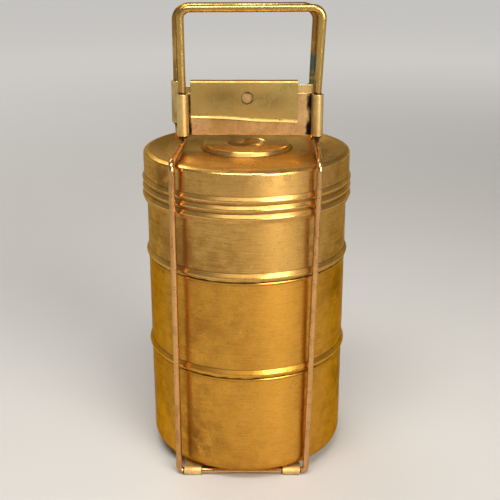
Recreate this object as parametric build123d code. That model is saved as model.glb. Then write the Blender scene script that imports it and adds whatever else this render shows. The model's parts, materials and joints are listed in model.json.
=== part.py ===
from build123d import *
import os

# A three-tier tiffin carrier of sheet brass. Round containers stack on each other under a
# pressed lid. Two wire frames hinge on a base plate, lean in over the lid and carry a handle
# each, and a hinged flap holds them together. Millimetres, +Z up, front towards -Y. The
# origin is on the table, on the axis of the containers.

# Sheet, wire and fits
sheet = 1.0                 # sheet of the containers and the lid
base_sheet = 0.8            # sheet of the base plate
bracket_sheet = 1.4         # sheet of the brackets
flap_sheet = 0.9            # sheet of the latch flap
rod_d = 3.9                 # side rods
handle_d = 4.6              # handles
pin_d = 1.7                 # latch pin
turn_gap = 0.05             # radial clearance of what turns
set_gap = 0.02              # radial clearance of what is fixed
rest_gap = 0.05             # between a piece and what it rests on
least_r = 0.3               # smallest rounding of a sheet's corner

# Containers
body_r = 63.4               # outside of the walls
bottom_z = 5.0              # top of the base plate
seam_z = (73.1, 136.4)      # rims of the bottom and the middle container
top_rim_z = 201.5           # rim of the top container, under the lid
corner_r = 7.5              # bottom corner of the bottom container
foot_r = 62.1               # foot that nests in the container below
foot_h = 5.2
foot_corner_r = 2.5
ledge_r = 63.8              # outer edge of the ledge that rests on the rim below
bead_r = 65.05              # corner point of the bead over each seam, before rounding
bead_h = 6.0
bead_bend_r = 1.8
bead_top_bend_r = 1.2
rim_r = 63.85               # rolled rim
rim_h = 1.6
rim_bend_r = 0.5
rim_lip = 0.1               # the rim's top edge stands this far outside the wall
rim_turn = 1.1              # width of the rim's top edge, in sheets

# Lid
lid_r = 65.0                # outside of the skirt
lid_z = 204.7               # rolled edge of the top
lid_edge_r = 61.6           # inner side of the rolled edge
lid_edge_bend_r = 1.8
skirt_top_z = 203.7
skirt_bend_r = 2.0
skirt_z = 173.8             # lower edge of the skirt
skirt_edge_r = 65.05
rib_crest_r = 66.3          # corner points of the ribs, before rounding
rib_groove_r = 64.75
rib_z = (187.3, 182.1, 176.9)
rib_pitch = 5.2
rib_start_bend_r = 0.8
rib_crest_bend_r = 1.1
rib_groove_bend_r = 0.5
dish_r = 51.0               # shallow dished ring between the flat and the rolled edge
dish_z = 203.1
dish_bend_r = 8.0
plateau_r = 43.0            # flat ring round the disc
plateau_z = 204.0
plateau_bend_r = 4.0
disc_r = 28.4               # raised disc in the middle of the top
disc_flat_r = 26.8
disc_z = 207.3
disc_bend_r = 1.5
disc_foot_bend_r = 1.2
dimple_r = 12.6             # dimple in the disc
dimple_floor_r = 9.6
dimple_z = 203.7
dimple_bend_r = 1.4
dimple_floor_bend_r = 2.5

# Base plate and hinges
base_x = -3.0               # the base and the frames stand a little left of the stack
base_w = 74.6
hinge_y = 54.2
hinge_z = 2.65
knuckle_w = 11.0
rail_gap = 6.0              # the plate's edge stands this far behind the rail

# Frames, front and rear: x of the left and right side
rod_foot_x = (-43.6, 38.0)
front_rod_x = (-43.3, 42.6)
rear_rod_x = (-43.3, 42.0)
rod_corner_r = 3.2
shoulder_z = 207.0
shoulder_r = 5.5
neck_z = (208.3, 208.8)     # where the shoulder turns up into the sleeve, front and rear
neck_r = 3.6
front_sleeve_x = (-39.55, 43.85)
rear_sleeve_x = (-43.1, 41.1)
sleeve_y = 3.78             # the wires stand this far from the middle plane
front_sleeve_z = (212.2, 238.2)
rear_sleeve_z = (219.3, 245.3)
rear_plate_top_z = 242.2
rod_depth = 7.0             # length of rod inside a sleeve
handle_depth = 14.0         # length of handle wire inside a sleeve
front_bar_x = (-39.95, 46.2)
front_bar_z = (289.3, 289.7)
rear_bar_x = (-43.15, 42.6)
rear_bar_z = (290.0, 290.2)
front_bend_r = 6.0
rear_bend_r = 8.0
spread_gap = 1.5            # the handle's sides start to spread this far above the sleeve
spread_r = 40.0
roll_slit = 0.35            # open seam of a rolled sleeve
roll_lap = 1.0              # the seam starts this far past the sleeve's middle
base_seam_angle = 50        # where the base plate's roll ends, below its own plane
solder_in = 0.4
solder_h = 2.4

# Latch flap and its pin
flap_x = (-34.6, 31.7)
flap_left_z = 223.2
flap_right_z = 220.1
flap_y = -3.4               # front face of the hanging panel
flap_top_z = 246.2
flap_bend_r = 1.6
lip_h = 1.7
lip_out = 0.9
lip_bend_r = 2.0
pin_y = sleeve_y - handle_d / 2 - set_gap - bracket_sheet / 2
pin_z = flap_top_z - pin_d / 2 - turn_gap - flap_sheet
lock_hole_r = 3.5
lock_hole = (0.5, 235.5)
hinge_parts = 5             # knuckles along the pin: flap, bracket, flap, bracket, flap
part_gap = 0.3

rod_r = rod_d / 2
handle_r = handle_d / 2
pin_r = pin_d / 2
sleeve_bore_r = handle_r + set_gap
sleeve_r = sleeve_bore_r + bracket_sheet
base_bore_r = rod_r + turn_gap
base_knuckle_r = base_bore_r + base_sheet - turn_gap
flap_bore_r = pin_r + turn_gap
flap_knuckle_r = flap_bore_r + flap_sheet


def inner_radius(before, here, after, radius, way):
    """Corner radius on the inside of the sheet: smaller where the outside stands out, larger
    where it goes in, and none where the outline runs straight on."""
    run = (here[0] - before[0], here[1] - before[1])
    step = (after[0] - here[0], after[1] - here[1])
    turn = run[0] * step[1] - run[1] * step[0]
    if radius == 0 or abs(turn) < 1e-6:
        return 0
    return max(radius - way * sheet * (1 if turn > 0 else -1), least_r)


def shell(rows, way):
    """Thin-walled round piece. Each row is the radius and height of a corner of the outside,
    its rounding, and how far the inside stands from it, in sheets, along r and z, or None where
    the inside has no corner. way is 1 where the outline runs up the outside, else -1."""
    outside = [(row[0], row[1]) for row in rows]
    kept = [row for row in rows if row[3] is not None]
    inside = [(r + dr * sheet, z + dz * sheet) for r, z, _, dr, dz in kept]
    inner = [
        inner_radius(inside[i - 1], inside[i], inside[i + 1], kept[i][2], way)
        for i in range(1, len(kept) - 1)
    ]
    points = outside + inside[::-1]
    corners = [row[2] for row in rows[1:]] + [0] + inner[::-1]
    edge = FilletPolyline(*[(r, 0, z) for r, z in points], radius=corners)
    profile = make_face(Curve() + [edge, Line(edge @ 1, edge @ 0)])
    return revolve(profile, Axis.Z)


def rim_rows(rim):
    """Corners of a wall's rolled rim."""
    return [
        (body_r, rim - rim_h, least_r, None, None),
        (rim_r, rim - rim_h / 2, rim_bend_r, None, None),
        (body_r + rim_lip, rim, 0, -rim_turn, 0),
    ]


def bottom_container():
    """Plain round box that stands on the base plate."""
    low = bottom_z + rest_gap
    rows = [(0, low, 0, 0, 1), (body_r, low, corner_r, -1, 1)]
    return shell(rows + rim_rows(seam_z[0]), 1)


def nested_container(seam, rim):
    """Round box with a foot that nests below the seam and a bead that rests on the rim there."""
    low = seam - foot_h
    rest = seam + rest_gap
    rows = [
        (0, low, 0, 0, 1),
        (foot_r, low, foot_corner_r, -1, 1),
        (foot_r, rest, least_r, -1, 1),
        (ledge_r, rest, least_r, -1, 1),
        (bead_r, rest + bead_h / 2, bead_bend_r, -1, 0),
        (body_r, rest + bead_h, bead_top_bend_r, -1, 0),
    ]
    return shell(rows + rim_rows(rim), 1)


def lid():
    """Pressed lid: a dimple in a raised disc, a shallow dished ring, a rolled edge and three ribs."""
    rows = [
        (0, dimple_z, 0, 0, -1),
        (dimple_floor_r, dimple_z, dimple_floor_bend_r, 0.4, -1),
        (dimple_r, disc_z, dimple_bend_r, 0.7, -1),
        (disc_flat_r, disc_z, disc_bend_r, -0.6, -1),
        (disc_r, plateau_z, disc_foot_bend_r, -0.6, -1),
        (plateau_r, plateau_z, plateau_bend_r, 0, -1),
        (dish_r, dish_z, dish_bend_r, 0, -1),
        (lid_edge_r, lid_z, lid_edge_bend_r, -0.3, -1),
        (lid_r, skirt_top_z, skirt_bend_r, -1, -1),
        (lid_r, rib_z[0] + rib_pitch / 2, rib_start_bend_r, -1, 0),
    ]
    for z in rib_z:
        rows.append((rib_crest_r, z, rib_crest_bend_r, -1, 0))
        rows.append((rib_groove_r, z - rib_pitch / 2, rib_groove_bend_r, -0.8, 0))
    rows[-1] = (skirt_edge_r, skirt_z, 0, -1, 0)
    return shell(rows, -1)


def base_plate():
    """Flat strip with two rolled knuckles at each end, worn flat where it stands."""
    plate_z = bottom_z - base_sheet / 2
    middle_w = base_w - 2 * knuckle_w
    edge_x = (base_w - knuckle_w) / 2
    cut_d = rail_gap + rod_d
    piece = Pos(base_x, 0, plate_z) * Box(base_w, 2 * hinge_y, base_sheet)
    for side in (-1, 1):
        cut_y = side * (hinge_y - rail_gap + cut_d / 2)
        piece -= Pos(base_x, cut_y, plate_z) * Box(middle_w, cut_d, 2 * base_sheet)
        for end in (-1, 1):
            place = Pos(base_x + end * edge_x, side * hinge_y, hinge_z)
            piece += place * Cylinder(base_knuckle_r, knuckle_w, rotation=(0, 90, 0))
    for side in (-1, 1):
        piece -= Pos(base_x, side * hinge_y, hinge_z) * Cylinder(base_bore_r, base_w, rotation=(0, 90, 0))
        slit = Box(base_w, base_knuckle_r, roll_slit, align=(Align.CENTER, Align.MIN, Align.CENTER))
        seam = 180 - base_seam_angle if side < 0 else base_seam_angle
        piece -= Pos(base_x, side * hinge_y, hinge_z) * Rot(180 + seam, 0, 0) * slit
    worn = Box(2 * base_w, 4 * hinge_y, hinge_z, align=(Align.CENTER, Align.CENTER, Align.MAX))
    return piece - worn


def wire(points, radii, wire_r):
    """Round wire along straight runs joined by bends."""
    path = FilletPolyline(*points, radius=radii)
    section = Plane(origin=path @ 0, z_dir=path % 0) * Circle(wire_r)
    return sweep(section, path=path)


def side_rod(side, rod_x, sleeve_x, sleeve_low, neck):
    """U of wire: both ends up in the sleeves, shoulders over the lid, sides, and a bottom rail."""
    y_out = side * hinge_y
    y_in = side * sleeve_y
    points = [
        (sleeve_x[0], y_in, sleeve_low + rod_depth),
        (sleeve_x[0], y_in, neck),
        (rod_x[0], y_out, shoulder_z),
        (rod_foot_x[0], y_out, hinge_z),
        (rod_foot_x[1], y_out, hinge_z),
        (rod_x[1], y_out, shoulder_z),
        (sleeve_x[1], y_in, neck),
        (sleeve_x[1], y_in, sleeve_low + rod_depth),
    ]
    radii = [neck_r, shoulder_r, rod_corner_r, rod_corner_r, shoulder_r, neck_r]
    return wire(points, radii, rod_r)


def handle(side, sleeve_x, sleeve_z, bar_x, bar_z, bend_r):
    """Inverted U of thicker wire, upright in the sleeves and spreading a little above them."""
    y = side * sleeve_y
    low = sleeve_z[1] - handle_depth
    kink = sleeve_z[1] + spread_gap
    points = [
        (sleeve_x[0], y, low),
        (sleeve_x[0], y, kink),
        (bar_x[0], y, bar_z[0]),
        (bar_x[1], y, bar_z[1]),
        (sleeve_x[1], y, kink),
        (sleeve_x[1], y, low),
    ]
    return wire(points, [spread_r, bend_r, bend_r, spread_r], handle_r)


def bracket(side, sleeve_x, sleeve_z, plate_top):
    """Plate whose ends are rolled into sleeves round the wires, with the seam of the roll open."""
    low, high = sleeve_z
    height = high - low
    upward = (Align.CENTER, Align.CENTER, Align.MIN)
    plate_y = side * (sleeve_y - sleeve_bore_r - bracket_sheet / 2)
    slit_y = plate_y + side * (bracket_sheet + roll_slit) / 2
    middle = sum(sleeve_x) / 2
    length = sleeve_x[1] - sleeve_x[0]
    piece = Pos(middle, plate_y, low) * Box(length, bracket_sheet, plate_top - low, align=upward)
    for x in sleeve_x:
        piece += Pos(x, side * sleeve_y, low) * Cylinder(sleeve_r, height, align=upward)
    for x, inward in zip(sleeve_x, (1, -1)):
        piece -= Pos(x, side * sleeve_y, low) * Cylinder(sleeve_bore_r, height, align=upward)
        slit = Box(sleeve_r, roll_slit, height, align=upward)
        piece -= Pos(x + inward * (sleeve_r + roll_lap) / 2, slit_y, low) * slit
    return piece


def solder(side, sleeve_x, sleeve_low):
    """Ring of solder in each sleeve's lower end, between the rod and the sleeve."""
    rings = []
    for x in sleeve_x:
        ring = Cylinder(sleeve_bore_r - set_gap / 2, solder_h) - Cylinder(rod_r + set_gap / 2, solder_h)
        rings.append(Pos(x, side * sleeve_y, sleeve_low + solder_in + solder_h / 2) * ring)
    return Compound(children=rings)


def hinge_span(index):
    """Ends along X of one knuckle of the flap's hinge."""
    step = (flap_x[1] - flap_x[0]) / hinge_parts
    return flap_x[0] + index * step, flap_x[0] + (index + 1) * step


def along_x(radius, low, high):
    """Cylinder along X round the pin's axis."""
    return Pos((low + high) / 2, pin_y, pin_z) * Cylinder(radius, high - low, rotation=(0, 90, 0))


def rear_bracket():
    """Rear plate with sleeves, cut back for the flap's knuckles and rolled round the pin between them."""
    piece = bracket(1, rear_sleeve_x, rear_sleeve_z, rear_plate_top_z)
    for index in range(1, hinge_parts, 2):
        low, high = hinge_span(index)
        low, high = low + part_gap / 2, high - part_gap / 2
        web_h = pin_z - rear_plate_top_z + bracket_sheet
        web = Box(high - low, bracket_sheet, web_h, align=(Align.CENTER, Align.CENTER, Align.MAX))
        piece += Pos((low + high) / 2, pin_y, pin_z) * web
        piece += along_x(pin_r + set_gap + flap_sheet, low, high)
    piece -= along_x(pin_r + set_gap, flap_x[0], flap_x[1])
    return piece


def flap_section(x, low_z):
    """Outline of the flap's sheet at x: strip over the hinge, bend, panel and flared lip."""
    back = flap_y + flap_sheet
    under = flap_top_z - flap_sheet
    lip_z = low_z + lip_h
    points = [
        (x, pin_y, flap_top_z),
        (x, flap_y, flap_top_z),
        (x, flap_y, lip_z),
        (x, flap_y - lip_out, low_z),
        (x, back - lip_out, low_z),
        (x, back, lip_z),
        (x, back, under),
        (x, pin_y, under),
    ]
    radii = [flap_bend_r, lip_bend_r, 0, 0, lip_bend_r + flap_sheet, flap_bend_r - flap_sheet]
    edge = FilletPolyline(*points, radius=radii)
    return make_face(Curve() + [edge, Line(edge @ 1, edge @ 0)])


def latch_flap():
    """Flap that turns on the pin and hangs over both brackets, with a round hole in the panel."""
    ends = [flap_section(flap_x[0], flap_left_z), flap_section(flap_x[1], flap_right_z)]
    piece = loft(ends, ruled=True)
    for index in range(0, hinge_parts, 2):
        low, high = hinge_span(index)
        low = low + (part_gap / 2 if index else 0)
        high = high - (part_gap / 2 if index < hinge_parts - 1 else 0)
        piece += along_x(flap_knuckle_r, low, high)
    for index in range(1, hinge_parts, 2):
        low, high = hinge_span(index)
        piece -= along_x(flap_knuckle_r + part_gap, low - part_gap / 2, high + part_gap / 2)
    piece -= along_x(flap_bore_r, flap_x[0] - 1, flap_x[1] + 1)
    hole = Cylinder(lock_hole_r, 4 * flap_sheet, rotation=(90, 0, 0))
    return piece - Pos(lock_hole[0], flap_y + flap_sheet / 2, lock_hole[1]) * hole


def latch_pin():
    """Plain pin of the flap's hinge."""
    return along_x(pin_r, flap_x[0], flap_x[1])


def parts():
    """Every piece by name."""
    return {
        "base_plate": base_plate(),
        "bottom_container": bottom_container(),
        "middle_container": nested_container(seam_z[0], seam_z[1]),
        "top_container": nested_container(seam_z[1], top_rim_z),
        "lid": lid(),
        "front_side_rod": side_rod(-1, front_rod_x, front_sleeve_x, front_sleeve_z[0], neck_z[0]),
        "rear_side_rod": side_rod(1, rear_rod_x, rear_sleeve_x, rear_sleeve_z[0], neck_z[1]),
        "front_bracket": bracket(-1, front_sleeve_x, front_sleeve_z, front_sleeve_z[1]),
        "rear_bracket": rear_bracket(),
        "front_handle": handle(-1, front_sleeve_x, front_sleeve_z, front_bar_x, front_bar_z, front_bend_r),
        "rear_handle": handle(1, rear_sleeve_x, rear_sleeve_z, rear_bar_x, rear_bar_z, rear_bend_r),
        "front_solder": solder(-1, front_sleeve_x, front_sleeve_z[0]),
        "rear_solder": solder(1, rear_sleeve_x, rear_sleeve_z[0]),
        "latch_flap": latch_flap(),
        "latch_pin": latch_pin(),
    }


os.makedirs("parts", exist_ok=True)
for name, solid in parts().items():
    export_step(solid, f"parts/{name}.step")
    box = solid.bounding_box()
    print(name, round(solid.volume), [round(v, 1) for v in (*box.min, *box.max)])
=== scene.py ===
"""A three-tier tiffin carrier of old brass, dressed round its construction frame.

Lengths are in metres. The stack's axis is the Z axis, the table is at z = 0 and the front is -Y.
"""

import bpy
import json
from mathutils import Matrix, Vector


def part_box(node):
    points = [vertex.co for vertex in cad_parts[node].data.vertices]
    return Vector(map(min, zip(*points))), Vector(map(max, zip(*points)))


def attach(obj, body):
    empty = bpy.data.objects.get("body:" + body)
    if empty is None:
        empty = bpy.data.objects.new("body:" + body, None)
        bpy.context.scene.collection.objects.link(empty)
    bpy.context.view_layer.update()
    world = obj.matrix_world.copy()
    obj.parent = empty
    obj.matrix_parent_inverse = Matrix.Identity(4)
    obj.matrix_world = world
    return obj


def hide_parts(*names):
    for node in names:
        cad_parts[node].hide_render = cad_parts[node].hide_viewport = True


bl_info = {
    "name": "Tiffin carrier",
    "version": (1, 0, 0),
    "blender": (4, 5, 0),
    "location": "View3D > Sidebar > Tiffin",
    "description": "Builds a brass tiffin carrier and a plain studio for it",
    "category": "Object",
}

import json
import math
import bpy
import numpy as np
from bpy.props import FloatProperty, FloatVectorProperty, PointerProperty
from mathutils import Vector

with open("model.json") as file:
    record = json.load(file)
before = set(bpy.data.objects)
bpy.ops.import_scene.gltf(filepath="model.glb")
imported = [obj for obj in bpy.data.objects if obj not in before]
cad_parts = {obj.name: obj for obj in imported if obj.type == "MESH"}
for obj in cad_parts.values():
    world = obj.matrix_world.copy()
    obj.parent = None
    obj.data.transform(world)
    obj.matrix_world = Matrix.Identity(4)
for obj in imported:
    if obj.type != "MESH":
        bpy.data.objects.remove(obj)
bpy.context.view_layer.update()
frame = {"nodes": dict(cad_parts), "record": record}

MM = 0.001
FINE_ARC = math.radians(8)          # step of large bends
COARSE_ARC = math.radians(20)       # step of bends under a millimetre
GUARD = 0.12 * MM                   # points beside a bend keep the flats flat in the shading
EDGE_R = 0.2 * MM                   # rounding of a cut sheet's edges
FIT = 0.02 * MM                     # radial clearance of what is fixed

# The hinges, as the frame's joints give them
HINGES = {joint["name"]: joint.get("pos_m") for joint in frame["record"]["behaviour"]["joints"]}
HINGE_Y, HINGE_Z = HINGES["rear_frame_hinge"][1:]
PIN_Y, PIN_Z = HINGES["latch_flap_hinge"][1:]


def mm(*values):
    """Lengths given in millimetres, kept in metres."""
    return np.array(values) * MM


# What differs between the two frames. way is the side of the middle plane that the frame is on,
# and each pair is for the left and the right side
SIDES = {
    "front": dict(
        way=-1, neck_z=208.3 * MM, rod_x=mm(-43.3, 42.6), bar_x=mm(-39.95, 46.2), bar_z=mm(289.3, 289.7),
        bend_r=6.0 * MM,
    ),
    "rear": dict(
        way=1, neck_z=208.8 * MM, rod_x=mm(-43.3, 42.0), bar_x=mm(-43.15, 42.6), bar_z=mm(290.0, 290.2),
        bend_r=8.0 * MM,
    ),
}
ROD_FOOT_X = mm(-43.6, 38.0)        # of both side rods, where the rail ends
KNUCKLE_W = 11.0 * MM               # of the base plate's knuckles
RAIL_GAP = 6.0 * MM                 # from the base plate's edge to the rail's middle
SHOULDER_Z = 207.0 * MM             # where a side rod leans in over the lid
NECK_R, SHOULDER_R, FOOT_R = mm(3.6, 5.5, 3.2)      # bends of a side rod
ROD_DEPTH = 7.0 * MM                # of a rod in its sleeve
HANDLE_DEPTH = 14.0 * MM            # of a handle in its sleeve
SPREAD_GAP = 1.5 * MM               # a handle spreads from this far above its sleeve
SPREAD_R = 40 * MM
SLEEVE_H = 26.0 * MM
SEAT_Z = 5.25 * MM                  # a nested container's seat above its lowest point
REAR_PLATE_TOP_Z = 242.2 * MM
REAR_TAB_TOP_Z = 243.3 * MM         # the end of the rear plate beside the flap, and its sleeve
HINGE_PARTS = 5                     # knuckles on the latch pin: flap, bracket, flap, bracket, flap
PART_GAP = 0.3 * MM                 # between parts that turn past each other
LUG_R = 1.8 * MM                    # room that a bracket's knuckle takes round the pin
FLAP_SLANT = 3.1 * MM               # the flap's left end is that much shorter than its right end
LIP_H, LIP_OUT = mm(1.7, 0.9)       # of the flap's flared lower lip
LAMPS_AIM_Z = 130 * MM
DENT_H, DENT_SIZE = mm(0.07, 26)    # of the slow dents in a wall
SOFT_TURN, SHARP_TURN = 120, 900    # a line's turn for each metre, where it starts and ends to be an edge
FAR_GLOW = 0.40                     # of the far floor, and of the world near the horizon, where
HORIZON_GLOW = 0.30                 # they are seen or reflected
LAMP_WHITE = (1.0, 0.98, 0.95)
PATTERN_SHIFT = (0.37, 0.21, 0.13)  # of a material's pattern for each step of its seed


def number(label, value, words, **settings):
    """A number that a user can change."""
    return FloatProperty(name=label, description=words, default=value, **settings)


def length(label, value, words):
    """A size that a user can change, given in millimetres and kept in metres."""
    return number(label, value * MM, words, unit="LENGTH", precision=5)


def paint(label, value, words):
    """A colour that a user can change."""
    return FloatVectorProperty(
        name=label, description=words, default=value, size=3, min=0.0, max=1.0, subtype="COLOR"
    )


class CarrierSizes(bpy.types.PropertyGroup):
    """Sizes of the carrier's pieces"""

    sheet: length("Sheet", 1.0, "Thickness of the containers and the lid")
    body_r: length("Container radius", 63.4, "Outside radius of the container walls")
    bead_r: length("Bead radius", 65.05, "Corner of the bead over each seam, before rounding")
    bead_h: length("Bead height", 6.0, "Height of the bead over each seam")
    foot_r: length("Foot radius", 62.1, "Foot that nests in the container below")
    corner_r: length("Bottom corner", 7.5, "Rounding of the bottom container's corner")
    lid_r: length("Lid radius", 65.0, "Outside radius of the lid's skirt")
    disc_r: length("Disc radius", 28.4, "Raised disc in the middle of the lid")
    dimple_r: length("Dimple radius", 12.6, "Dimple in the middle of the disc")
    rod_r: length("Rod radius", 1.95, "Wire of the two side rods")
    handle_r: length("Handle radius", 2.3, "Wire of the two handles")
    sleeve_y: length("Sleeve offset", 3.78, "Distance of the wires from the middle plane")
    bracket_sheet: length("Bracket sheet", 1.4, "Thickness of the brackets")
    flap_sheet: length("Flap sheet", 0.9, "Thickness of the latch flap")
    base_sheet: length("Base sheet", 0.75, "Thickness of the base plate")
    hole_r: length("Hole radius", 3.5, "Round hole in the latch flap")


class CarrierColours(bpy.types.PropertyGroup):
    """Base colours of the brass, as the metal looks face on"""

    lower: paint("Lower tiers", (0.70, 0.345, 0.05), "Orange gold of the two lower containers")
    upper: paint("Upper tier", (0.70, 0.405, 0.105), "Paler brass of the top container")
    lid: paint("Lid", (0.72, 0.42, 0.12), "Brass of the lid")
    rod: paint("Rods", (0.70, 0.385, 0.15), "Copper-toned wire of the side rods")
    handle: paint("Handles", (0.66, 0.425, 0.125), "Yellow brass of the handles")
    plate: paint("Front plate", (0.95, 0.63, 0.38), "Pinkish brass of the heated plate in front")
    base: paint("Base plate", (0.86, 0.63, 0.26), "Yellow brass of the base plate and the sleeves")
    flap: paint("Latch flap", (0.56, 0.40, 0.13), "Olive gold of the latch flap")
    mottle: paint("Mottles", (0.19, 0.13, 0.04), "Dark olive mottles of the latch flap")
    film: paint("Film", (0.24, 0.10, 0.018), "Brown film over the brass")
    # also the colour of the painted shade under the beads, in hollows, round the flap's hole, along its lip
    # and beside the knuckles
    oxide: paint("Oxide", (0.02, 0.016, 0.012), "Black oxide in pits and at the solder")
    verdigris: paint("Verdigris", (0.12, 0.16, 0.11), "Grey-green film on the rear handle")
    floor: paint("Floor", (0.60, 0.585, 0.56), "Plain pale floor")


class StudioSettings(bpy.types.PropertyGroup):
    """Camera place, found from the ellipses of the seams, and the strength of the lights"""

    distance: length("Distance", 580.1, "Camera in front of the stack's axis")
    height: length("Height", 341.5, "Camera above the table")
    aside: length("Aside", 2.15, "Camera to the right of the stack's axis")
    pitch: number("Pitch", math.radians(19.6), "Camera below the horizon", subtype="ANGLE")
    lens: number("Lens", 67.58, "Focal length in millimetres", min=10.0)
    key: number("Key", 3.5, "Power of the main lamp", unit="POWER")
    fill: number("Fill", 10.0, "Power of the lamp overhead", unit="POWER")
    rear: number("Rear", 6.0, "Power of the lamp behind", unit="POWER")
    sky: number("World", 0.24, "Strength of the even light", min=0.0)


# Lines and surfaces


def unit(v):
    """Vectors scaled to length one."""
    return v / np.linalg.norm(v, axis=-1, keepdims=True)


def ramp(value, low, high):
    """0 below low, 1 above high, and an S-shaped rise between: 3 t^2 - 2 t^3."""
    t = np.clip((value - low) / (high - low), 0, 1)
    return t * t * (3 - 2 * t)


def fall(value, low, high):
    """1 below low, 0 above high, and an S-shaped fall between."""
    return 1 - ramp(value, low, high)


def waves(p, seed, size):
    """Slow unevenness from -1 to 1: the mean of four sine waves in directions drawn from the seed."""
    rng = np.random.default_rng(seed)
    ways = unit(rng.normal(size=(4, 3))) * math.pi / size
    return np.mean(np.sin(p @ ways.T + rng.uniform(0, 2 * math.pi, 4)), axis=-1)


def bend(before, here, after, radius):
    """Arc of the radius that touches both runs at a corner: the spoke from its centre turns at
    an even rate from one touching point to the other."""
    a, b = unit(before - here), unit(after - here)
    angle = math.acos(float(np.clip(a @ b, -1.0, 1.0)))
    turn = math.pi - angle
    if radius <= 0 or turn < 1e-4:
        return here[None, :]
    centre = here + unit(a + b) * radius / math.sin(angle / 2)
    reach = radius / math.tan(angle / 2)
    start, end = here + a * reach - centre, here + b * reach - centre
    step = FINE_ARC if radius > 1 * MM else COARSE_ARC
    t = np.linspace(0.0, turn, max(2, math.ceil(turn / step)) + 1)[:, None]
    return centre + (np.sin(turn - t) * start + np.sin(t) * end) / math.sin(turn)


def rounded(corners, radii):
    """Line through the corners, each but the first and last replaced by its bend."""
    p = np.asarray(corners, float)
    bends = [p[:1]] + [bend(p[i], p[i + 1], p[i + 2], r) for i, r in enumerate(radii)] + [p[-1:]]
    line = [bends[0]]
    for a, b in zip(bends[:-1], bends[1:]):
        run = b[0] - a[-1]
        gap = np.linalg.norm(run)
        if gap > 3 * GUARD:
            line += [a[-1:] + run * GUARD / gap, b[:1] - run * GUARD / gap]
        line.append(b if gap > 1e-7 else b[1:])
    return np.vstack(line)


def spaced(line, step):
    """The same line with every run divided evenly so that none is over the step."""
    runs = np.linalg.norm(np.diff(line, axis=0), axis=1)
    counts = np.maximum(1, np.ceil(runs / step)).astype(int)
    start = np.repeat(np.arange(len(counts)), counts)
    part = np.concatenate([np.arange(n) / n for n in counts])[:, None]
    return np.vstack([line[start] * (1 - part) + line[start + 1] * part, line[-1:]])


def edges_of(line, closed, way):
    """How far a line stands out, 1, or goes in, -1, at each point, from its turn for each metre."""
    before, after = (np.roll(line, s, axis=0) for s in (1, -1))
    a, b = line - before, after - line
    size = np.maximum((np.linalg.norm(a, axis=1) + np.linalg.norm(b, axis=1)) / 2, 1e-7)
    turn = np.arctan2(a[:, 0] * b[:, 1] - a[:, 1] * b[:, 0], np.sum(a * b, axis=1)) / size * way
    if not closed:
        turn[[0, -1]] = 0
    out = ramp(turn, SOFT_TURN, SHARP_TURN) - ramp(-turn, SOFT_TURN, SHARP_TURN)
    return (np.roll(out, 1) + 2 * out + np.roll(out, -1)) / 4


def grid(rows, columns, closed):
    """Quads of a grid of points that joins up along its columns and, if closed, its rows."""
    i, j = np.meshgrid(np.arange(rows if closed else rows - 1), np.arange(columns), indexing="ij")
    n, k = (i + 1) % rows, (j + 1) % columns
    quads = [i * columns + j, i * columns + k, n * columns + k, n * columns + j]
    return np.stack(quads, -1).reshape(-1, 4)


def closed_ends(rows, columns):
    """Triangles from two last points, one before the first row and one after the last."""
    j = np.arange(columns)
    k = (j + 1) % columns
    tip = rows * columns
    last = tip - columns
    return [np.stack([j * 0 + tip, k, j], -1), np.stack([j * 0 + tip + 1, last + j, last + k], -1)]


def spun(outline, sides):
    """Points of a full turn of an outline about Z: x = r cos a, y = r sin a, z = h for the radius
    r and height h of each of its points and the angle a."""
    a = np.linspace(0, 2 * math.pi, sides, endpoint=False)
    r, h = outline[:, :1], outline[:, 1:]
    return np.stack([r * np.cos(a), r * np.sin(a), h + 0 * a], -1).reshape(-1, 3)


def turned(outline, way=1, sides=240):
    """Surface of revolution that is closed on the axis by a pole at each end."""
    points = np.vstack([spun(outline[1:-1], sides), [[0, 0, outline[0, 1]], [0, 0, outline[-1, 1]]]])
    edge = np.concatenate([np.repeat(edges_of(outline, False, way)[1:-1], sides), [0, 0]])
    rows = len(outline) - 2
    return points, [grid(rows, sides, False), *closed_ends(rows, sides)], edge


def ring(outline):
    """Surface of revolution of a closed outline that stays off the axis."""
    sides = 48
    edge = np.repeat(edges_of(outline, True, 1), sides)
    return spun(outline, sides), [grid(len(outline), sides, True)], edge


def carried(path, across, section):
    """Section carried along a path, with flat ends: path + u across + v (tangent x across) for
    each section point (u, v). section is one outline or one for each point of the path."""
    runs = unit(np.diff(path, axis=0))
    tangent = unit(np.vstack([runs[:1], runs[:-1] + runs[1:], runs[-1:]]))
    across = unit(across - tangent * (tangent @ np.asarray(across, float))[:, None])
    third = np.cross(tangent, across)
    edge = edges_of(section if section.ndim == 2 else section[0], True, 1)
    section = np.broadcast_to(section, (len(path),) + section.shape[-2:])
    rows, columns = section.shape[:2]
    rings = path[:, None] + section[..., :1] * across[:, None] + section[..., 1:] * third[:, None]
    ends = rings[[0, -1]].mean(axis=1)
    faces = [grid(rows, columns, False), *closed_ends(rows, columns)]
    return np.vstack([rings.reshape(-1, 3), ends]), faces, np.concatenate([np.tile(edge, rows), [0, 0]])


def strip(low, high, thick, step):
    """Section of a sheet from low to high: a rectangle with rounded corners, its sides divided."""
    half = thick / 2
    middle = ((low + high) / 2, -half)
    corners = [middle, (high, -half), (high, half), (low, half), (low, -half), middle]
    return spaced(rounded(corners, [EDGE_R] * 4), step)[:-1]


def wire(points, radii, wire_r, seed):
    """Round wire along straight runs and bends: a circle of slightly uneven radius carried along."""
    path = spaced(rounded(points, radii), 1.2 * MM)
    a = np.linspace(0, 2 * math.pi, 32, endpoint=False)
    circle = np.stack([np.cos(a), np.sin(a)], -1)
    uneven = wire_r * (1 - 0.008 + 0.008 * waves(path, seed, 9 * MM))
    return carried(path, (1.0, 1.0, 1.0), circle[None] * uneven[:, None, None])


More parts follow.
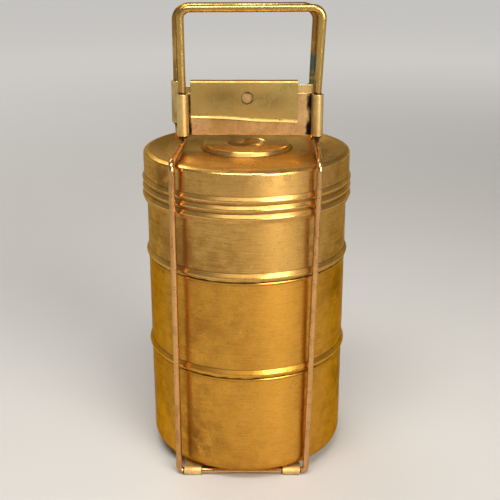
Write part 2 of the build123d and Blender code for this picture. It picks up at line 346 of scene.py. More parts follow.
def roll(centre, radius, start, end):
    """Arc about a centre between two angles in degrees: centre + radius (cos a, sin a)."""
    a = np.radians(np.linspace(start, end, int(abs(end - start) / 7) + 1))
    return np.stack([centre[0] + radius * np.cos(a), centre[1] + radius * np.sin(a)], -1)


def placed(shell, turn=(0, 1, 2), shift=(0, 0, 0)):
    """A shell with its axes taken in another order and then shifted."""
    points, faces, edge = shell
    return points[:, list(turn)] + np.asarray(shift, float), faces, edge


ALONG_X = (2, 0, 1)
ALONG_Y = (1, 2, 0)


def rod_shell(radius, low, high, sides=64):
    """Plain cylinder on the Z axis."""
    return turned(np.array([(0, low), (radius, low), (radius, high), (0, high)]), 1, sides)


def block_shell(low, high):
    """Plain block between two corners."""
    low, high = np.asarray(low, float), np.asarray(high, float)
    half = (high - low)[:2] / 2
    middle = (low + high) / 2
    path = np.array([[middle[0], middle[1], low[2]], [middle[0], middle[1], high[2]]])
    return carried(path, (1.0, 0.0, 0.0), np.array([(-1, -1), (1, -1), (1, 1), (-1, 1)]) * half)


def volume_in(points, faces):
    """Volume inside the faces, negative where they point inwards: a sixth of the sum of
    a . (b x c) over their triangles."""
    total = 0.0
    for group in faces:
        for k in range(1, group.shape[1] - 1):
            a, b, c = points[group[:, 0]], points[group[:, k]], points[group[:, k + 1]]
            total += np.sum(a * np.cross(b, c)) / 6
    return total


def mesh_of(name, shells):
    """One mesh from closed shells of points, faces and edge marks, each facing outwards."""
    points, faces, marks, start = [], [], [], 0
    for p, groups, edge in shells:
        inward = volume_in(p, groups) < 0
        faces += [(g[:, ::-1] if inward else g) + start for g in groups]
        points.append(p)
        marks.append(edge)
        start += len(p)
    mesh = bpy.data.meshes.new(name)
    mesh.from_pydata(np.vstack(points), [], sum((group.tolist() for group in faces), []))
    mesh.polygons.foreach_set("use_smooth", np.ones(len(mesh.polygons), bool))
    mark(mesh, "edge", np.concatenate(marks))
    return mesh


def points_of(mesh):
    """All points of a mesh as one array."""
    co = np.empty(len(mesh.vertices) * 3, np.float32)
    mesh.vertices.foreach_get("co", co)
    return co.reshape(-1, 3).astype(float)


def move_points(mesh, co):
    """Puts moved points back into a mesh."""
    mesh.vertices.foreach_set("co", co.astype(np.float32).ravel())
    mesh.update()


def mark(mesh, name, values):
    """Keeps a number at each point, which the materials read by its name."""
    layer = mesh.attributes.new(name, "FLOAT", "POINT")
    layer.data.foreach_set("value", np.asarray(values, np.float32))


def add_object(name, data):
    """Puts an object that holds the data in the scene."""
    obj = bpy.data.objects.new(name, data)
    bpy.context.scene.collection.objects.link(obj)
    return obj


def cut(mesh, shells):
    """The mesh with the shells' space taken out, and its cut edges kept sharp in the shading."""
    whole, tool = add_object("whole", mesh), add_object("tool", mesh_of("tool", shells))
    modifier = whole.modifiers.new("cut", "BOOLEAN")
    modifier.object = tool
    modifier.solver = "EXACT"
    graph = bpy.context.evaluated_depsgraph_get()
    result = bpy.data.meshes.new_from_object(whole.evaluated_get(graph))
    for obj in (whole, tool):
        old = obj.data
        bpy.data.objects.remove(obj)
        bpy.data.meshes.remove(old)
    result.set_sharp_from_angle(angle=math.radians(50))
    return result


def add_piece(name, mesh, body, slot, material, *nodes):
    """Puts a mesh in the scene as a piece that rides on a body and stands for its nodes."""
    obj = add_object(name, mesh)
    mesh.materials.clear()
    mesh.materials.append(material)
    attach(obj, body)
    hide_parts(*nodes)
    return obj


# Round pieces


def wall_outline(rows, sheet, way):
    """Outline of a thin round wall. Each row is the radius and height of an outside corner, its
    rounding, and the inside's offset in sheets, or None where the inside has no corner."""
    outside = [(row[0], row[1]) for row in rows]
    kept = [row for row in rows if row[3] is not None]
    inside = [(r + dr * sheet, z + dz * sheet) for r, z, _, dr, dz in kept]
    inner = []
    for i in range(1, len(kept) - 1):
        run = np.subtract(inside[i], inside[i - 1])
        step = np.subtract(inside[i + 1], inside[i])
        side = np.sign(run[0] * step[1] - run[1] * step[0]) * way
        inner.append(max(kept[i][2] - side * sheet, 0.3 * MM))
    lip = 0.2 * MM
    radii = [row[2] for row in rows[1:]] + [lip] + inner[::-1]
    return spaced(rounded(outside + inside[::-1], radii), 4 * MM)


def rim_rows(sizes, rim):
    """Corners of a wall's rolled rim."""
    return [
        (sizes.body_r, rim - 1.6 * MM, 0.3 * MM, None, None),
        (sizes.body_r + 0.45 * MM, rim - 0.8 * MM, 0.5 * MM, None, None),
        (sizes.body_r + 0.1 * MM, rim, 0.2 * MM, -1.1, 0),
    ]


def plain_rows(sizes, low, rim):
    """Corners of the bottom container."""
    return [(0, low, 0, 0, 1), (sizes.body_r, low, sizes.corner_r, -1, 1)] + rim_rows(sizes, rim)


def nested_rows(sizes, low, rim):
    """Corners of a container with a foot under its seam and a bead over it."""
    rest = low + SEAT_Z
    return [
        (0, low, 0, 0, 1),
        (sizes.foot_r, low, 2.5 * MM, -1, 1),
        (sizes.foot_r, rest, 0.3 * MM, -1, 1),
        (sizes.body_r + 0.4 * MM, rest, 0.3 * MM, -1, 1),
        (sizes.bead_r, rest + sizes.bead_h / 2, 1.8 * MM, -1, 0),
        (sizes.body_r, rest + sizes.bead_h, 1.2 * MM, -1, 0),
    ] + rim_rows(sizes, rim)


def lid_rows(sizes, skirt_z, disc_z):
    """Corners of the lid, from the dimple out to the edge and down over the ribs."""
    flat_z = disc_z - 3.3 * MM
    edge_z = disc_z - 2.6 * MM
    dimple_z = disc_z - 3.6 * MM
    rib_pitch = 5.2 * MM
    top_rib_z = skirt_z + 13.5 * MM
    rows = [
        (0, dimple_z, 0, 0, -1),
        (sizes.dimple_r - 3.0 * MM, dimple_z, 2.5 * MM, 0.4, -1),
        (sizes.dimple_r, disc_z, 1.4 * MM, 0.7, -1),
        (sizes.disc_r - 1.6 * MM, disc_z, 1.5 * MM, -0.6, -1),
        (sizes.disc_r, flat_z, 1.2 * MM, -0.6, -1),
        (43.0 * MM, flat_z, 4.0 * MM, 0, -1),
        (51.0 * MM, flat_z - 0.9 * MM, 8.0 * MM, 0, -1),
        (sizes.lid_r - 3.4 * MM, edge_z, 1.8 * MM, -0.3, -1),
        (sizes.lid_r, edge_z - 1.0 * MM, 2.0 * MM, -1, -1),
        (sizes.lid_r, top_rib_z + rib_pitch / 2, 0.8 * MM, -1, 0),
    ]
    for rib in range(3):
        crest_z = top_rib_z - rib * rib_pitch
        rows.append((sizes.lid_r + 1.3 * MM, crest_z, 1.1 * MM, -1, 0))
        rows.append((sizes.lid_r - 0.25 * MM, crest_z - rib_pitch / 2, 0.5 * MM, -0.8, 0))
    rows[-1] = (sizes.lid_r + 0.05 * MM, skirt_z, 0.2 * MM, -1, 0)
    return rows


def round_wall(name, rows, sizes, way, seed, smudges=(), seat_z=0):
    """Turned wall with slow dents in its radius. smudges are each an angle, height and radius,
    and a painted shadow lies along the underside of the bead at the seam, at the height seat_z."""
    mesh = mesh_of(name, [turned(wall_outline(rows, sizes.sheet, way), way)])
    co = points_of(mesh)
    r = np.hypot(co[:, 0], co[:, 1])
    dents = DENT_H * waves(co, seed, DENT_SIZE) * ramp(r, 0.85 * sizes.body_r, 0.97 * sizes.body_r)
    co[:, :2] *= (1 + dents / sizes.body_r)[:, None]
    move_points(mesh, co)
    brown = np.zeros(len(co))
    for angle, z, size in smudges:
        a = math.radians(angle)
        place = np.array([sizes.body_r * math.cos(a), sizes.body_r * math.sin(a), z * MM])
        brown = np.maximum(brown, fall(np.linalg.norm(co - place, axis=1), 0, size * MM))
    mark(mesh, "tone", brown)
    # painted shadow: a dark line along the underside of the bead at the seam, where its overhang shades the
    # wall
    from_seam = np.abs(co[:, 2] - seat_z) + (r < sizes.body_r)
    mark(mesh, "stain", 0.9 * fall(from_seam, 0.25 * MM, 0.6 * MM))
    return mesh


class TIFFIN_OT_containers(bpy.types.Operator):
    """Turn the three containers, with their beads, feet and rolled rims"""

    bl_idname = "tiffin.add_containers"
    bl_label = "Add containers"

    def execute(self, context):
        sizes = context.scene.carrier_sizes
        plan = [
            ("bottom_container", plain_rows, "lower", 11, [(-20, 62, 16), (-120, 25, 22), (70, 40, 25)]),
            ("middle_container", nested_rows, "lower", 12, [(-27, 124, 17), (150, 100, 24)]),
            ("top_container", nested_rows, "upper", 13, [(-130, 150, 20), (40, 170, 22)]),
        ]
        for node, rows, colour, seed, smudges in plan:
            low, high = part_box(node)
            mesh = round_wall(node, rows(sizes, low.z, high.z), sizes, 1, seed, smudges, low.z + SEAT_Z)
            depth, film = (0.6, 0.6) if colour == "lower" else (0.9, 0.75)
            metal = turned_brass(f"{colour} tier brass {seed}", colour, seed, depth, film)
            add_piece(f"{node}_wall", mesh, node, "container_brass", metal, node)
        return {"FINISHED"}


class TIFFIN_OT_lid(bpy.types.Operator):
    """Turn the lid, with its ribs, raised disc and dimple"""

    bl_idname = "tiffin.add_lid"
    bl_label = "Add lid"

    def execute(self, context):
        sizes = context.scene.carrier_sizes
        low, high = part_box("lid")
        mesh = round_wall("lid", lid_rows(sizes, low.z, high.z), sizes, -1, 14, [(-140, 195, 18)])
        add_piece("lid_wall", mesh, "lid", "lid_brass", turned_brass("lid brass", "lid", 14), "lid")
        return {"FINISHED"}


# Wires


def sleeve_axes(side, sizes):
    """x of the left and right sleeve's axis, and the lower and upper end of the sleeves."""
    low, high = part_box(f"{side}_bracket")
    sleeve_r = sizes.handle_r + FIT + sizes.bracket_sheet
    top = high.z if side == "front" else low.z + SLEEVE_H
    return (low.x + sleeve_r, high.x - sleeve_r), low.z, top


def u_of_wire(*corners):
    """Corners of a U: along its left side to the far end and back along its right side. Each of
    a corner's x, y and z is one number, or a pair for the two sides."""
    pairs = np.array([[np.broadcast_to(v, 2) for v in corner] for corner in corners])
    return np.vstack([pairs[:, :, 0], pairs[::-1, :, 1]])


def rod_points(side, sizes):
    """Corners of a side rod: up in the sleeves, shoulders, sides, and the rail at the bottom."""
    shape = SIDES[side]
    sleeve_x, low, _ = sleeve_axes(side, sizes)
    y_in, y_out = shape["way"] * sizes.sleeve_y, shape["way"] * HINGE_Y
    return u_of_wire(
        (sleeve_x, y_in, low + ROD_DEPTH),
        (sleeve_x, y_in, shape["neck_z"]),
        (shape["rod_x"], y_out, SHOULDER_Z),
        (ROD_FOOT_X, y_out, HINGE_Z),
    )


def file_flat(mesh, way, sizes):
    """Takes a shallow oval off the front of the left side: y stays within a limit that is
    lowest at the flat's middle and rises with the distance along the wire."""
    co = points_of(mesh)
    middle_z, half_h, depth = 197.5 * MM, 6.0 * MM, 0.34 * MM
    limit = HINGE_Y + sizes.rod_r - depth * (1 - ((co[:, 2] - middle_z) / half_h) ** 2)
    here = (co[:, 0] < 0) & (np.abs(co[:, 2] - middle_z) < half_h) & (co[:, 1] * way > limit)
    co[here, 1] = way * limit[here]
    move_points(mesh, co)


class TIFFIN_OT_side_rods(bpy.types.Operator):
    """Bend the two side rods, with a flat worn on the front one"""

    bl_idname = "tiffin.add_side_rods"
    bl_label = "Add side rods"

    def execute(self, context):
        sizes = context.scene.carrier_sizes
        bends = [NECK_R, SHOULDER_R, FOOT_R, FOOT_R, SHOULDER_R, NECK_R]
        for side, seed in (("front", 21), ("rear", 22)):
            mesh = mesh_of(side, [wire(rod_points(side, sizes), bends, sizes.rod_r, seed)])
            if side == "front":
                file_flat(mesh, SIDES[side]["way"], sizes)
            co = points_of(mesh)
            low = sleeve_axes(side, sizes)[1]
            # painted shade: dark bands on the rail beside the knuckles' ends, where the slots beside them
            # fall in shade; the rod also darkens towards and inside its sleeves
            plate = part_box("base_plate")
            ends = [plate[0].x, plate[0].x + KNUCKLE_W, plate[1].x - KNUCKLE_W, plate[1].x]
            rail_top = 5 * MM
            above = np.maximum(co[:, 2] - rail_top, 0)
            from_end = np.min(np.abs(co[:, :1] - np.array(ends)), axis=1) + above
            knuckle_end_shade = 0.9 * fall(from_end, 0.4 * MM, 1.3 * MM)
            mark(mesh, "stain", np.maximum(knuckle_end_shade, 0.75 * ramp(co[:, 2], low - 6 * MM, low)))
            metal = wire_brass(f"{side} rod brass", "rod", seed)
            node = f"{side}_side_rod"
            add_piece(f"{node}_wire", mesh, f"{side}_frame", "rod_brass", metal, node)
        return {"FINISHED"}


class TIFFIN_OT_handles(bpy.types.Operator):
    """Bend the two handles that stand in the sleeves"""

    bl_idname = "tiffin.add_handles"
    bl_label = "Add handles"

    def execute(self, context):
        sizes = context.scene.carrier_sizes
        for side, seed, film, oxide in (("front", 31, 1.0, "oxide"), ("rear", 32, 1.5, "verdigris")):
            shape = SIDES[side]
            sleeve_x, _, top = sleeve_axes(side, sizes)
            y = shape["way"] * sizes.sleeve_y
            corners = u_of_wire(
                (sleeve_x, y, top - HANDLE_DEPTH),
                (sleeve_x, y, top + SPREAD_GAP),
                (shape["bar_x"], y, shape["bar_z"]),
            )
            bends = [SPREAD_R, shape["bend_r"], shape["bend_r"], SPREAD_R]
            mesh = mesh_of(side, [wire(corners, bends, sizes.handle_r, seed)])
            co = points_of(mesh)
            # darker where the wire goes down into its sleeve; the rear handle also has a patch of verdigris
            # on its right side
            stain = 0.7 * fall(co[:, 2], top + 0.3 * MM, top + 2.5 * MM)
            if side == "rear":
                patch = ramp(co[:, 2], 246 * MM, 249 * MM) * fall(co[:, 2], 259 * MM, 266 * MM)
                stain = np.maximum(stain, 0.85 * patch * (co[:, 0] > 0))
            mark(mesh, "stain", stain)
            metal = wire_brass(f"{side} handle brass", "handle", seed, film, oxide)
            add_piece(f"{side}_handle_wire", mesh, f"{side}_frame", "handle_brass", metal, f"{side}_handle")
        return {"FINISHED"}


# Sheet pieces


def lug_spans():
    """Ends along X of the bracket's places among the knuckles of the latch's hinge."""
    low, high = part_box("latch_pin")
    step = (high.x - low.x) / HINGE_PARTS
    return [(low.x + i * step, low.x + (i + 1) * step) for i in range(1, HINGE_PARTS, 2)]


def bent_sheet(name, plan, box, thick, step):
    """Mesh of a sheet that follows a line of y and z and is as wide as the box."""
    path = np.stack([0 * plan[:, 0], plan[:, 0], plan[:, 1]], -1)
    return mesh_of(name, [carried(path, (1.0, 0.0, 0.0), strip(box[0].x, box[1].x, thick, step))])


def bracket_shell(side, sizes):
    """Sheet carried in plan round one sleeve, along the plate and round the other sleeve. At the
    rear its top edge is lowered along the plate, and less at the right end."""
    way = SIDES[side]["way"]
    (left, right), low, top = sleeve_axes(side, sizes)
    roll_r = sizes.handle_r + FIT + sizes.bracket_sheet / 2
    plate_q = sizes.sleeve_y - roll_r
    clear, cut_w = mm(4.0, 0.3)
    seam = 36
    ends = [left, left + clear, left + clear + cut_w, right - clear - cut_w, right - clear, right]
    plate = spaced(np.array([(x, plate_q) for x in ends]), 1.8 * MM)[1:-1]
    plan = np.vstack(
        [
            roll((left, sizes.sleeve_y), roll_r, -seam, 270),
            plate,
            roll((right, sizes.sleeve_y), roll_r, -90, 180 + seam),
        ]
    )
    path = np.stack([plan[:, 0], way * plan[:, 1], 0 * plan[:, 0]], -1)
    section = strip(low, top, sizes.bracket_sheet, 1.8 * MM)
    drop = np.zeros(len(path))
    if side == "rear":
        tab_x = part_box("latch_flap")[1].x + PART_GAP
        on_plate = (plan[:, 1] < sizes.sleeve_y) * ramp(path[:, 0], left + clear, left + clear + cut_w)
        on_plate = np.where(path[:, 0] > right - clear, 1, on_plate)
        drop = on_plate * (top - np.where(path[:, 0] < tab_x, REAR_PLATE_TOP_Z, REAR_TAB_TOP_Z))
    sections = np.repeat(section[None], len(path), axis=0)
    share = (section[:, 0] - low) / (top - low)
    sections[:, :, 0] -= drop[:, None] * share[None]
    return carried(path, (0.0, 0.0, 1.0), sections)


def lug_shells():
    """Two knuckles round the latch pin, each a ring on a web that stands in the rear plate."""
    shells = []
    bore, outer = 0.87 * MM, 1.77 * MM
    for low, high in lug_spans():
        low, high = low + PART_GAP / 2, high - PART_GAP / 2
        corners = [(bore, (low + high) / 2), (bore, low), (outer, low), (outer, high), (bore, high)]
        outline = rounded(corners + corners[:1], [EDGE_R] * 4)[:-1]
        shells.append(placed(ring(outline), ALONG_X, (0, PIN_Y, PIN_Z)))
        half = 0.65 * MM
        foot_z, top_z = REAR_PLATE_TOP_Z - 0.5 * MM, PIN_Z - 1.2 * MM
        shells.append(block_shell((low, PIN_Y - half, foot_z), (high, PIN_Y + half, top_z)))
    return shells


class TIFFIN_OT_brackets(bpy.types.Operator):
    """Roll the two brackets, the rear one with the lugs for the latch"""

    bl_idname = "tiffin.add_brackets"
    bl_label = "Add brackets"

    def execute(self, context):
        sizes = context.scene.carrier_sizes
        for side, seed in (("front", 41), ("rear", 42)):
            way = SIDES[side]["way"]
            (left, right), low, _ = sleeve_axes(side, sizes)
            shells = [bracket_shell(side, sizes)] + (lug_shells() if side == "rear" else [])
            mesh = mesh_of(side, shells)
            co = points_of(mesh)
            # the front plate's outer face is darker beside each sleeve, most towards its foot
            plate = fall(co[:, 1] * way, 1.4 * MM, 2.2 * MM)
            near_right = ramp(co[:, 0], right - 8.5 * MM, right - 4.8 * MM)
            near_left = fall(co[:, 0], left + 4.2 * MM, left + 6.5 * MM)
            foot = fall(co[:, 2], low, low + 9 * MM)
            stain = np.maximum(near_right * (0.78 + 0.22 * foot), near_left * (0.7 + 0.3 * foot))
            outer = plate * ramp(co[:, 1] * way, 0.4 * MM, 1.1 * MM)
            mark(mesh, "stain", stain * outer * (side == "front"))
            mark(mesh, "tone", plate * (side == "front"))
            metal = sheet_brass(f"{side} bracket brass", "base", seed, tone="plate")
            node = f"{side}_bracket"
            add_piece(f"{node}_sheet", mesh, f"{side}_frame", "bracket_brass", metal, node)
        return {"FINISHED"}


def slant_at(x, low, high):
    """Height of the flap's lower edge, which falls from left to right, faster in the middle."""
    along = (x - low.x) / (high.x - low.x)
    return low.z + FLAP_SLANT * (1 - 0.35 * along - 0.65 * ramp(along, 0.1, 0.95))


def flap_mesh(sizes):
    """Latch flap: its sheet is carried from the roll round the pin over the bend and down the
    panel to a flared lip. The panel's lower edge then slants, and the lugs' room and the hole
    are cut out."""
    low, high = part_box("latch_flap")
    t = sizes.flap_sheet
    back_y = low.y + LIP_OUT + t / 2
    top_z = high.z - t / 2
    low_z = low.z + FLAP_SLANT / 2
    top_bend, lip_bend = mm(1.15, 2.4)
    line = rounded(
        [(PIN_Y, top_z), (back_y, top_z), (back_y, low_z + LIP_H), (back_y - LIP_OUT, low_z)],
        [top_bend, lip_bend],
    )
    plan = spaced(np.vstack([roll((PIN_Y, PIN_Z), top_z - PIN_Z, -205, 90)[:-1], line]), 0.8 * MM)
    mesh = bent_sheet("flap", plan, (low, high), t, 0.8 * MM)
    co = points_of(mesh)
    down = np.clip((top_z - t - co[:, 2]) / (top_z - t - low_z), 0, 1.1) * (co[:, 1] < back_y + t)
    co[:, 2] += down * (slant_at(co[:, 0], low, high) - low_z + 0.22 * MM * waves(co, 51, 14 * MM))
    co[:, 1] += down * 0.12 * MM * waves(co, 52, 18 * MM)
    move_points(mesh, co)
    tools = []
    for start, end in lug_spans():
        room = rod_shell(LUG_R + PART_GAP, start - PART_GAP / 2, end + PART_GAP / 2)
        tools.append(placed(room, ALONG_X, (0, PIN_Y, PIN_Z)))
    hole_x, hole_z = 0.5 * MM, 235.5 * MM
    tools.append(placed(rod_shell(sizes.hole_r, -2 * t, 2 * t), ALONG_Y, (hole_x, back_y, hole_z)))
    mesh = cut(mesh, tools)
    co = points_of(mesh)
    dark = 0
    for x, z, wide, weight in ((-15, 236, 11, 1.0), (13, 234, 14, 0.8)):
        off_x, off_z = (co[:, 0] - x * MM) / (wide * MM), (co[:, 2] - z * MM) / (6 * MM)
        dark = dark + weight * np.exp(-(off_x**2 + off_z**2))
    mark(mesh, "tone", np.clip(dark * (co[:, 1] < back_y + t), 0, 1))
    # painted shadow: a dark ring round the hole's edge; painted shade: a dark line along the concave bend
    # above the flared lip
    from_hole = np.hypot(co[:, 0] - hole_x, co[:, 2] - hole_z) + (co[:, 1] > back_y + t)
    lip = np.abs(co[:, 2] - slant_at(co[:, 0], low, high) - LIP_H) + (co[:, 1] > back_y + t)
    stain = fall(from_hole, sizes.hole_r + 0.05 * MM, sizes.hole_r + 0.5 * MM)
    mark(mesh, "stain", np.maximum(stain, 0.42 * fall(lip, 0.2 * MM, 1.0 * MM)))
    return mesh


class TIFFIN_OT_latch(bpy.types.Operator):
    """Bend the latch flap and finish its pin"""

    bl_idname = "tiffin.add_latch"
    bl_label = "Add latch"

    def execute(self, context):
        sizes = context.scene.carrier_sizes
        metal = sheet_brass("latch flap brass", "flap", 51, tone="mottle", film=0.55)
        obj = add_piece("latch_flap_sheet", flap_mesh(sizes), "latch_flap", "flap_brass", metal, "latch_flap")
        rim = obj.modifiers.new("edges", "BEVEL")
        rim.width = 0.12 * MM
        rim.segments = 2
        rim.limit_method = "ANGLE"
        rim.angle_limit = math.radians(60)
        pin = frame["nodes"]["latch_pin"]
        pin.data.materials.clear()
        pin.data.materials.append(wire_brass("latch pin brass", "handle", 53))
        return {"FINISHED"}


def base_mesh(sizes):
    """Base plate: its sheet is carried from the roll round the front rod along the plate to the
    roll round the rear rod, with its ends cut away between the knuckles."""
    low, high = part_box("base_plate")
    t = sizes.base_sheet
    turn_gap = 0.05 * MM
    plate_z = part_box("bottom_container")[0].z - turn_gap - t / 2
    roll_r = sizes.rod_r + turn_gap + t / 2
    start_y = HINGE_Y - 2.0 * MM
    front = roll((-HINGE_Y, HINGE_Z), roll_r, 350, 62)
    plate = np.array([(-start_y, plate_z), (start_y, plate_z)])
    rear = (front * (-1, 1))[::-1]
    plan = spaced(np.vstack([front, plate, rear]), 3 * MM)
    mesh = bent_sheet("base", plan, (low, high), t, 2 * MM)
    far = 70 * MM
    tools = []
    for y in ((-far, RAIL_GAP - HINGE_Y), (HINGE_Y - RAIL_GAP, far)):
        tools.append(block_shell((low.x + KNUCKLE_W, y[0], -far), (high.x - KNUCKLE_W, y[1], far)))
    mesh = cut(mesh, tools)
    co = points_of(mesh)
    co[:, 2] = np.maximum(co[:, 2], 0)
    move_points(mesh, co)
    # the plate is darker within about a millimetre of the table
    mark(mesh, "stain", 0.55 * fall(co[:, 2], 0.1 * MM, 1.4 * MM))
    return mesh


class TIFFIN_OT_base(bpy.types.Operator):
    """Roll the base plate round the two rods"""

    bl_idname = "tiffin.add_base"
    bl_label = "Add base plate"

    def execute(self, context):
        metal = sheet_brass("base brass", "base", 61, film=0.5, rough=0.6)
        mesh = base_mesh(context.scene.carrier_sizes)
        add_piece("base_plate_sheet", mesh, "base", "base_brass", metal, "base_plate")
        return {"FINISHED"}


class TIFFIN_OT_solder(bpy.types.Operator):
    """Set lumpy collars of dark solder where the rods enter the sleeves"""

    bl_idname = "tiffin.add_solder"
    bl_label = "Add solder"

    def execute(self, context):
        sizes = context.scene.carrier_sizes
        bore, inside = sizes.rod_r + FIT, sizes.handle_r - FIT
        sharp, soft, depth = mm(0.1, 0.3, 2.4)
        for side, seed in (("front", 71), ("rear", 72)):
            sleeve_x, low, _ = sleeve_axes(side, sizes)
            corners = [
                (bore, low),
                (bore, low - 1.3 * MM),
                (bore + 0.5 * MM, low - 1.2 * MM),
                (bore + 1.0 * MM, low - 0.5 * MM),
                (inside, low + 0.2 * MM),
                (inside, low + depth),
                (bore, low + depth),
                (bore, low),
            ]
            outline = spaced(rounded(corners, [sharp, soft, soft, sharp, sharp, sharp]), 0.3 * MM)
            collar = ring(outline[:-1])
            y = SIDES[side]["way"] * sizes.sleeve_y
            mesh = mesh_of(side, [placed(collar, shift=(x, y, 0)) for x in sleeve_x])
            co = points_of(mesh)
            below = fall(co[:, 2], low - 0.3 * MM, low + 0.2 * MM)
            co[:, 2] += below * 0.25 * MM * waves(co, seed, 1.6 * MM)
            move_points(mesh, co)
            node = f"{side}_solder"
            add_piece(f"{node}_collars", mesh, f"{side}_frame", "solder", solder_metal(), node)
        return {"FINISHED"}


# Materials


def new_node(tree, kind, inputs=None, **settings):
    """Adds a shader node with its settings, and sets or links its inputs by name or number."""
    node = tree.nodes.new(f"ShaderNode{kind}")
    count = len(tree.nodes)
    node.location = (220 * (count % 9), -260 * (count // 9))
    for key, value in settings.items():
        setattr(node, key, value)
    for key, value in (inputs or {}).items():
        if isinstance(value, bpy.types.NodeSocket):
            tree.links.new(value, node.inputs[key])
        else:
            node.inputs[key].default_value = value
    return node


def maths(tree, operation, a, b=0.0, c=0.0):
    """Result of one Math node."""
    return new_node(tree, "Math", {0: a, 1: b, 2: c}, operation=operation).outputs[0]


def times(tree, a, b):
    """Product of two values."""
    return maths(tree, "MULTIPLY", a, b)


def centred(tree, value):
    """A value from 0 to 1 moved to lie round nought."""
    return maths(tree, "SUBTRACT", value, 0.5)


def summed(tree, start, *terms):
    """The start plus each term, which is a value and its weight."""
    for value, weight in terms:
        start = maths(tree, "MULTIPLY_ADD", value, weight, start)
    return start


def noise(tree, vector, scale, detail=3.0, rough=0.55):
    """Value of one Noise node."""
    inputs = {"Vector": vector, "Scale": scale, "Detail": detail, "Roughness": rough}
    return new_node(tree, "TexNoise", inputs).outputs["Fac"]


def step_of(tree, value, low, high):
    """S-shaped rise from 0 at low to 1 at high."""
    inputs = {"Value": value, "From Min": low, "From Max": high}
    return new_node(tree, "MapRange", inputs, interpolation_type="SMOOTHSTEP").outputs[0]


def mixed(tree, factor, a, b):
    """Colour between a and b."""
    return new_node(tree, "Mix", {0: factor, 6: a, 7: b}, data_type="RGBA").outputs[2]


def new_group(name, inputs, outputs):
    """Shader node group with its inputs and outputs by name. An input is a colour where its
    value is None, a direction where it is three numbers, and else a plain number."""
    tree = bpy.data.node_groups.new(name, "ShaderNodeTree")
    for label, value in inputs.items():
        kind = "Color" if value is None else "Vector" if isinstance(value, tuple) else "Float"
        socket = tree.interface.new_socket(label, in_out="INPUT", socket_type=f"NodeSocket{kind}")
        if value is not None:
            socket.default_value = value
    for label, kind in outputs.items():
        tree.interface.new_socket(label, in_out="OUTPUT", socket_type=f"NodeSocket{kind}")
    return tree, tree.nodes.new("NodeGroupInput").outputs, tree.nodes.new("NodeGroupOutput").inputs


def object_place(tree):
    """Place on the piece, in its own coordinates."""
    return new_node(tree, "TexCoord").outputs["Object"]


def vector_maths(tree, operation, *vectors):
    """Result of one Vector Math node, a number for a length."""
    outputs = new_node(tree, "VectorMath", dict(enumerate(vectors)), operation=operation).outputs
    return outputs["Value" if operation == "LENGTH" else 0]


def turning_lines():
    """Group: fine lines round the Z axis, from noise on the radius and the height. The direction
    from the axis shifts the noise slowly, so that the lines break up round the turn."""
    if "Turning lines" in bpy.data.node_groups:
        return bpy.data.node_groups["Turning lines"]
    tree, given, out = new_group("Turning lines", {"Fineness": 1400.0}, {"Lines": "Float"})
    sway = 5.0                          # shift of the noise from one side of the axis to its middle
    xyz = new_node(tree, "SeparateXYZ", {0: object_place(tree)}).outputs
    flat = new_node(tree, "CombineXYZ", {0: xyz[0], 1: xyz[1]}).outputs[0]
    way = new_node(tree, "SeparateXYZ", {0: vector_maths(tree, "NORMALIZE", flat)}).outputs
    radius = vector_maths(tree, "LENGTH", flat)
    across = summed(tree, times(tree, way[0], sway), (radius, given["Fineness"]))
    up = summed(tree, times(tree, way[1], sway), (xyz[2], given["Fineness"]))
    lines = new_node(tree, "CombineXYZ", {0: across, 1: up, 2: times(tree, way[0], 0.8 * sway)}).outputs[0]
    tree.links.new(noise(tree, lines, 1.0, 3.0, 0.6), out["Lines"])
    return tree


def rubbed_lines():
    """Group: faint upright lines, from noise on coordinates that are stretched along Z."""
    if "Rubbed lines" in bpy.data.node_groups:
        return bpy.data.node_groups["Rubbed lines"]
    stretch = (1400.0, 1400.0, 90.0)
    tree, given, out = new_group("Rubbed lines", {"Stretch": stretch}, {"Lines": "Float"})
    lines = vector_maths(tree, "MULTIPLY", object_place(tree), given["Stretch"])
    tree.links.new(noise(tree, lines, 1.0, 2.0, 0.6), out["Lines"])
    return tree


